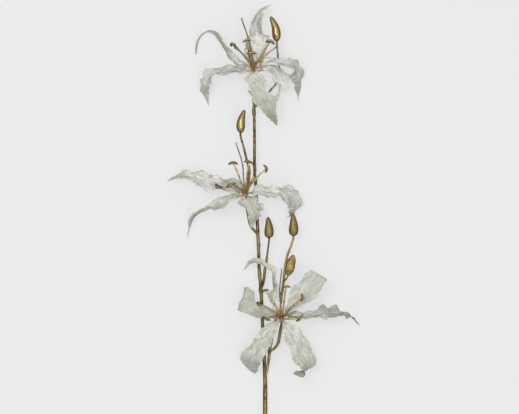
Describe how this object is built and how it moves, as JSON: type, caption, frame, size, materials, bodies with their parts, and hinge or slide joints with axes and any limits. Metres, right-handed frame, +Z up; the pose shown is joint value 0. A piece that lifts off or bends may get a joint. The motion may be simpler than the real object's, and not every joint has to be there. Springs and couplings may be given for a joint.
{
  "type": "artificial gloriosa lily spray",
  "caption": "Long artificial gloriosa lily stem lying face up, with open blooms of waved, backswept fabric petals, long gold stamens and closed gold buds.",
  "frame": {"origin": "on the surface the spray lies on, below the middle of its box", "axes": "+Y along the stem from its cut end to the tip, +X to the right of it, +Z up out of the blooms' faces"},
  "size_m": [0.3883, 0.9002, 0.1097],
  "materials": {
    "petal_cloth": "thin woven cloth, matt with a faint sheen, pressed with fine lengthwise veins",
    "stem_gold": "antique gold coating over a bark-like surface, satin",
    "bright_gold": "antique gold metallic coating, semi-gloss"
  },
  "bodies": {
    "root": {"main_stem": "stem_gold", "middle_branch": "stem_gold", "lower_branch": "stem_gold", "stalk_of_middle_bloom": "stem_gold", "stalk_of_lower_bloom": "stem_gold", "stalk_of_bud_1": "stem_gold", "stalk_of_bud_3": "stem_gold", "stalk_of_bud_5": "stem_gold", "bud_1": "bright_gold", "bud_2": "bright_gold", "bud_3": "bright_gold", "bud_4": "bright_gold", "bud_5": "bright_gold", "top_cup": "stem_gold", "top_stamens": "bright_gold", "top_pistil": "bright_gold", "top_petal_up": "petal_cloth", "top_petal_right": "petal_cloth", "top_petal_looped": "petal_cloth", "top_petal_front": "petal_cloth", "top_petal_left": "petal_cloth", "top_petal_upper_left": "petal_cloth", "middle_cup": "stem_gold", "middle_stamens": "bright_gold", "middle_pistil": "bright_gold", "middle_petal_right": "petal_cloth", "middle_petal_behind_up": "petal_cloth", "middle_petal_left": "petal_cloth", "middle_petal_lower_left": "petal_cloth", "middle_petal_behind_down": "petal_cloth", "middle_petal_down": "petal_cloth", "lower_cup": "stem_gold", "lower_stamens": "bright_gold", "lower_pistil": "bright_gold", "lower_petal_up": "petal_cloth", "lower_petal_upper_right": "petal_cloth", "lower_petal_right": "petal_cloth", "lower_petal_lower_right": "petal_cloth", "lower_petal_lower_left": "petal_cloth", "lower_petal_left": "petal_cloth"}
  },
  "joints": []
}
